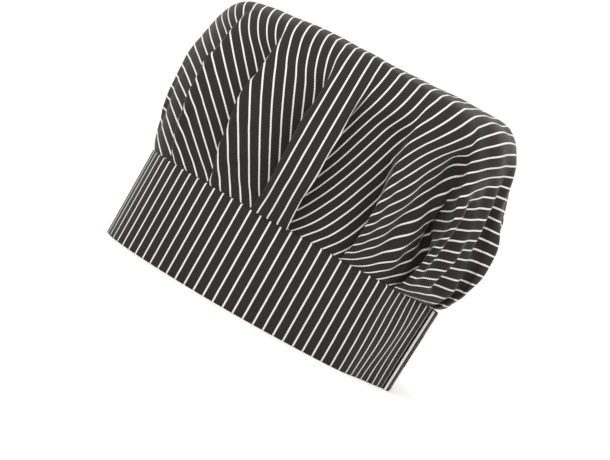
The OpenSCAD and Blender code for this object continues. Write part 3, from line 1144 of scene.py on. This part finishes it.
class TOQUE_OT_band(bpy.types.Operator):
    """Fold the band and its stiffener round the head, with its other end as the tab"""

    bl_idname = "toque.band"
    bl_label = "Band and tab"

    def execute(self, context):
        b = settings().band
        outline = Outline()
        lap = Lap(outline)
        band, height, run = folded_strip(
            "band_fold", outline, outline.on_strip, lap.under, lap.meet, outline.height, False, ("start",)
        )
        finish_piece(band, "band pinstripe twill", "striped_cloth", "hat", "band_cloth")
        tab, height, run = folded_strip(
            "tab_fold", outline, outline.on_tab, lap.root, lap.tab_end, outline.tab_top, True, ("end",)
        )
        finish_piece(tab, "band pinstripe twill", "striped_cloth", None, "tab_cloth")
        bend_with_tab(tab, outline)
        low = b.cloth + 0.6 * MM
        top = outline.height - 1.5 * MM
        ends = lap.under + 2 * MM, lap.meet - 0.2 * MM
        lining = self.stiffen("band_interfacing", outline, outline.on_strip, ends, low, top)
        finish_piece(lining, "nonwoven interfacing", "interfacing", "hat", "band_stiffener")
        top = outline.tab_top - low
        ends = lap.root + 0.2 * MM, lap.tab_end - 2 * MM
        lining = self.stiffen("tab_interfacing", outline, outline.on_tab, ends, low, top)
        finish_piece(lining, "nonwoven interfacing", "interfacing", None, "tab_stiffener")
        bend_with_tab(lining, outline)
        return {"FINISHED"}

    def stiffen(self, name, outline, place, ends, low, top):
        """A stiffener midway between the plies, with a little room on each side."""
        b = settings().band
        thick = b.thickness - 2 * b.cloth - 0.25 * MM
        profile = upright(-b.thickness / 2, low, top, 15)
        return plain_sheet(name, outline, place, *ends, profile, thick, b.grid)


class TOQUE_OT_seam(bpy.types.Operator):
    """Overlock the seam allowance and stitch it down inside the band"""

    bl_idname = "toque.seam"
    bl_label = "Seam"

    def execute(self, context):
        h = settings().thread
        outline = Outline()
        lap = Lap(outline)
        top = outline.height
        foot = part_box("seam_allowance")[0].z
        # (mm off the band's face, mm over its top): out of the seam, over, and down its inner face.
        folded = ((1.5, -0.1), (2.1, 0.15), (2.6, -0.4))
        profile = [(-depth * MM, top + up * MM) for depth, up in folded]
        profile += upright(-2.75 * MM, top - 1.6 * MM, foot + 0.4 * MM, 5)

        def ripple(distances, z):
            gathered = np.sin(distances / (6.1 * MM)) + 0.6 * np.sin(distances / (2.3 * MM) + 1.0)
            return 0.12 * MM * gathered * min(1.0, (top - z) / (4 * MM) + 0.1)

        start, end = lap.under + 0.5 * MM, lap.meet - 0.5 * MM
        strip = plain_sheet(
            "seam_turning", outline, outline.on_strip, start, end, profile, 0.9 * MM, 2.5 * MM, ripple
        )
        finish_piece(strip, "band pinstripe twill", "overlock", "hat", "seam_allowance")
        place = off(outline, outline.on_strip, -SEAM_FACE)
        loops = tubes(self.overlock(place, start, end, foot, top - 2.4 * MM), h.radius * 0.8, 5)
        loops = make_object("overlock_loops", *loops)
        finish_piece(loops, "black sewing thread", "overlock", "hat")
        z = sum(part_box("seam_thread"), Vector()).z / 2
        line = (lap.under + 2.4 * MM, z), (lap.meet - 2.4 * MM, z)
        sew("turning_stitches", line, place, "hat", "seam_thread", -1.0)
        return {"FINISHED"}

    def overlock(self, place, start, end, foot, needle):
        """Paths of the overlock's loops: down the face and round the raw edge, and up to the next."""
        step = settings().thread.overlock_step
        half, low = (needle + foot) / 2, foot + 0.7 * MM
        # Share of a step along the seam, mm off its face, and height.
        loop = [(0.0, 0.15, needle), (0.3, 0.0, half), (0.5, 0.0, low), (0.5, 0.15, foot + 0.1 * MM)]
        loop += [(0.5, 0.6, foot - 0.05 * MM), (0.55, 1.15, foot + 0.2 * MM), (0.8, 1.25, foot + 1.5 * MM)]
        back = [(1.0, 0.15, needle), (0.7, 0.0, half), (0.5, 0.0, low)]
        paths = []
        for k in range(int((end - start) / step) - 1):
            a = start + (k + 0.5) * step
            for line in (np.array(loop), np.array(back)):
                points = place(a + line[:, 0] * step, line[:, 1] * MM, line[:, 2])
                inward = place(a + line[:, 0] * step, line[:, 1] * MM - MM, line[:, 2])
                paths.append((points, (inward - points).mean(0)))
        return paths


PILE_STEP = 0.85 * MM
PILE_RADIUS = 0.05 * MM
PILE_LEAN = np.array([0.3, 0.5, 0.8])  # a way that no loop of the pile runs along
HOOK_STEP = 1.5 * MM
HOOK_RADIUS = 0.09 * MM


class TOQUE_OT_closure(bpy.types.Operator):
    """Sew hook tape and loop tape on, with the stitches of the tab and the under end"""

    bl_idname = "toque.closure"
    bl_label = "Closure"

    def execute(self, context):
        b, c = settings().band, settings().closure
        outline = Outline()
        lap = Lap(outline)
        middle = c.base / 2
        inside = -b.thickness
        strip, tab = outline.on_strip, outline.on_tab

        def ground(name, place, ends, depth):
            up = upright(depth, lap.tape_low, lap.tape_high, 8)
            return plain_sheet(name, outline, place, *ends, up, c.base, b.grid)

        loop_tape = ground("loop_tape_ground", strip, lap.loop, middle)
        finish_piece(loop_tape, "black nylon tape", "loop_pile", "hat", "loop_tape")
        pile = tubes(self.pile(lap, off(outline, strip, c.base)), PILE_RADIUS, 4)
        pile = make_object("loop_tape_pile", *pile)
        finish_piece(pile, "black nylon pile", "loop_pile", "hat")
        hook_tape = ground("hook_tape_ground", tab, lap.hook, inside - middle)
        finish_piece(hook_tape, "black nylon tape", "hook_pile", "tab", "hook_tape")
        hooks = tubes(self.hooks(lap, off(outline, tab, inside - c.base)), HOOK_RADIUS, 5)
        hooks = make_object("hook_tape_hooks", *hooks)
        finish_piece(hooks, "black nylon hooks", "hook_pile", "tab")

        inner, outer = off(outline, strip, inside), off(outline, tab, 0.0)
        edge = c.inset / 2
        low, high = lap.tape_low + edge, lap.tape_high - edge
        box = rectangle(lap.loop[0] + edge, lap.loop[1] - edge, low, high)
        sew("loop_tape_stitches", box, inner, "hat", "loop_tape_thread", -1.0)
        box = rectangle(lap.hook[0] + edge, lap.hook[1] - edge, low, high)
        sew("hook_tape_stitches", box, outer, "tab", "hook_tape_thread")
        low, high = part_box("under_end_thread")
        line = [(lap.under + 1.4 * MM, low.z), (lap.under + 1.4 * MM, high.z)]
        sew("under_end_stitches", line, inner, "hat", "under_end_thread", -1.0)
        low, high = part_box("tab_edge_thread")
        box = rectangle(lap.root + c.inset, lap.tab_end - 1.5 * MM, low.z, high.z)
        bend_with_tab(sew("tab_edge_stitches", box, outer, None, "tab_edge_thread"), outline)
        return {"FINISHED"}

    def pile(self, lap, place):
        """Short soft loops, turned every way."""
        draw = np.random.default_rng(7)
        paths = []
        first, last = 0.8 * MM, 0.6 * MM
        for a in np.arange(lap.loop[0] + first, lap.loop[1] - last, PILE_STEP):
            for z in np.arange(lap.tape_low + first, lap.tape_high - last, PILE_STEP):
                at, turn = draw.uniform(-0.3, 0.3, 2) * MM, draw.uniform(0, math.pi)
                wide = draw.uniform(0.3, 0.5) * MM
                side = np.array([-1.0, -0.9, 0.0, 0.9, 1.0]) * wide
                rise = np.array([-0.05, 0.28, 0.5, 0.28, -0.05]) * MM
                points = place(a + at[0] + side * math.cos(turn), rise, z + at[1] + side * math.sin(turn))
                paths.append((points, PILE_LEAN))
        return paths

    def hooks(self, lap, place):
        """Rows of hooks, each row turned against the last."""
        paths = []
        first, last = 1.6 * MM, 1.2 * MM
        for i, z in enumerate(np.arange(lap.tape_low + first, lap.tape_high - last, HOOK_STEP)):
            lean = 1 if i % 2 else -1
            shift = 0.4 * MM * (i % 2)
            for a in np.arange(lap.hook[0] + first + shift, lap.hook[1] - last, HOOK_STEP):
                side = np.array([0.0, 0.0, 0.08, 0.28, 0.42, 0.44]) * MM * lean
                rise = np.array([-0.02, 0.26, 0.42, 0.49, 0.38, 0.24]) * MM
                points = place(a + side, -rise, np.full(6, z))
                paths.append((points, np.array([0.0, 0.0, 1.0])))
        return paths


class TOQUE_OT_label(bpy.types.Operator):
    """Hang the blank care label under the seam turning"""

    bl_idname = "toque.label"
    bl_label = "Label"

    def execute(self, context):
        outline = Outline()
        low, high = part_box("care_label")
        top, tall = high.z, high.z - low.z
        width = settings().label.width
        middle = float(outline.length_at(math.degrees(settings().label.hangs_at)))
        # (mm off the band's face, height): held in the seam, over the turning's edge, and down.
        held = ((2.0, 5.0), (2.05, 2.4), (2.2, 1.0), (2.5, 0.0), (2.75, -1.5))
        profile = [(-depth * MM, top + up * MM) for depth, up in held]
        for z in np.linspace(top - 4 * MM, low.z, 11):
            profile.append((-2.8 * MM - 0.5 * MM * ((top - z) / tall) ** 3, z))

        def ripple(distances, z):
            down = max(0.0, (top - z) / tall)
            across = (distances - middle) / (width / 2)
            return down * (0.35 * MM * across**2 - 0.25 * MM * np.sin(across * 3 + 1) * down)

        start, end = middle - width / 2, middle + width / 2
        label = plain_sheet(
            "satin_label", outline, outline.on_strip, start, end, profile, 0.18 * MM, 2 * MM, ripple
        )
        finish_piece(label, "white satin ribbon", "label_satin", None, "care_label")
        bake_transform(label)
        z = sum(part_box("label_thread"), Vector()).z / 2
        line = [(start + 0.8 * MM, z), (end - 0.8 * MM, z)]
        place = off(outline, outline.on_strip, -SEAM_FACE)
        sew("label_stitches", line, place, "hat", "label_thread", -1.0, "white", 2.2 * MM)
        return {"FINISHED"}


BAR_STEP = 0.38 * MM  # distance between the bar's stitches
BAR_STITCH = ((0.0, 0.05), (0.5, 0.35), (1.0, 0.05))  # share of the bar's height, and mm off the cloth
BAR_BELOW = 0.35  # share of its height that lies below the top of the slit


class TOQUE_OT_bartack(bpy.types.Operator):
    """Bar the top of the slit with dense stitches"""

    bl_idname = "toque.bartack"
    bl_label = "Bartack"

    def execute(self, context):
        h = settings().thread
        context.view_layer.update()
        crown = bpy.data.objects["pleated_crown"]
        top = Vector(crown["slit_top"])
        cloth = crown.evaluated_get(context.evaluated_depsgraph_get())
        low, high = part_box("slit_bartack")
        out = Vector((top.x, top.y, 0)).normalized()
        side = Vector((out.y, -out.x, 0))
        tall = high.z - low.z
        wide = settings().closure.bartack
        turns = int(wide / BAR_STEP)
        points = []
        for k in range(turns):
            for part, lift in BAR_STITCH:
                up = part if k % 2 == 0 else 1 - part
                along = wide * ((k + part) / turns - 0.5)
                at = top + side * along + Vector((0, 0, tall * (up - BAR_BELOW)))
                found, spot, _, _ = cloth.closest_point_on_mesh(at + out * MM)
                if not found:
                    raise RuntimeError("the bartack found no cloth under it")
                points.append(spot + out * (lift * MM + h.radius))
        paths = [(np.array(points), np.array(out))]
        bar = make_object("slit_bar", *tubes(paths, h.radius * 1.2, 6))
        finish_piece(bar, "white sewing thread", "white_thread", "hat", "slit_bartack")
        return {"FINISHED"}


class TOQUE_OT_stage(bpy.types.Operator):
    """Set the pale floor, the soft light and the camera"""

    bl_idname = "toque.stage"
    bl_label = "Stage"

    def execute(self, context):
        s = settings().stage
        scene = context.scene
        scene.view_settings.view_transform = "Standard"
        half = s.floor / 2
        corners = [(-half, -half, 0), (half, -half, 0), (half, half, 0), (-half, half, 0)]
        floor = make_object("floor", corners, [(0, 1, 2, 3)], rounded=False)
        floor.data.materials.append(bpy.data.materials["pale matt floor"])
        world = bpy.data.worlds.new("white room")
        world.use_nodes = True
        sky = world.node_tree.nodes["Background"]
        sky.inputs["Color"].default_value = (1, 1, 1, 1)
        sky.inputs["Strength"].default_value = s.room
        scene.world = world
        middle = Vector((0, 0, 0.1))
        # A soft light over the hat's right side, and a weaker one behind its left.
        lamps = ("key", (1.0, -0.3, 1.0), 0.9, s.key), ("back", (-1.0, 0.8, 0.9), 0.8, s.key * 0.35)
        for name, where, size, power in lamps:
            lamp = bpy.data.lights.new(name, "AREA")
            lamp.energy = power
            lamp.size = size
            light = bpy.data.objects.new(name, lamp)
            light.location = where
            light.rotation_euler = (middle - light.location).to_track_quat("-Z", "Y").to_euler()
            context.collection.objects.link(light)
        camera = bpy.data.cameras.new("camera")
        camera.lens = s.lens
        camera.sensor_width = 36
        eye = bpy.data.objects.new("camera", camera)
        context.collection.objects.link(eye)
        spot = Vector((s.distance, s.aim_back, s.camera_height))
        aim = Vector((0, s.aim_back, s.aim_height))
        look = (aim - spot).to_track_quat("-Z", "Y").to_matrix().to_4x4()
        eye.matrix_world = Matrix.Translation(spot) @ look @ Matrix.Rotation(s.roll, 4, "Z")
        scene.camera = eye
        return {"FINISHED"}


OPERATORS = (
    TOQUE_OT_materials,
    TOQUE_OT_crown,
    TOQUE_OT_seam,
    TOQUE_OT_band,
    TOQUE_OT_closure,
    TOQUE_OT_label,
    TOQUE_OT_bartack,
    TOQUE_OT_stage,
)


class TOQUE_PT_panel(bpy.types.Panel):
    """The hat's operators and sizes"""

    bl_label = "Pleated chef toque"
    bl_idname = "TOQUE_PT_panel"
    bl_space_type = "VIEW_3D"
    bl_region_type = "UI"
    bl_category = "Toque"

    def draw(self, context):
        for operator in OPERATORS:
            self.layout.operator(operator.bl_idname)
        groups = context.scene.toque
        for kind in GROUPS[:-1]:
            box = self.layout.box()
            name = kind.__name__.replace("Settings", "").lower()
            box.label(text=name.capitalize())
            for key in kind.__annotations__:
                box.prop(getattr(groups, name), key)


GROUPS = (
    CrownSettings,
    BandSettings,
    ClosureSettings,
    LabelSettings,
    ThreadSettings,
    StripeSettings,
    StageSettings,
    ToqueSettings,
)


def register():
    for kind in GROUPS + OPERATORS + (TOQUE_PT_panel,):
        bpy.utils.register_class(kind)
    bpy.types.Scene.toque = bpy.props.PointerProperty(
        type=ToqueSettings, name="Toque", description="Sizes and colours of the hat"
    )


def unregister():
    del bpy.types.Scene.toque
    for kind in reversed(GROUPS + OPERATORS + (TOQUE_PT_panel,)):
        bpy.utils.unregister_class(kind)


def main():
    register()
    for operator in OPERATORS:
        name = operator.bl_idname.split(".")[1]
        getattr(bpy.ops.toque, name)()


if __name__ == "__main__":
    main()
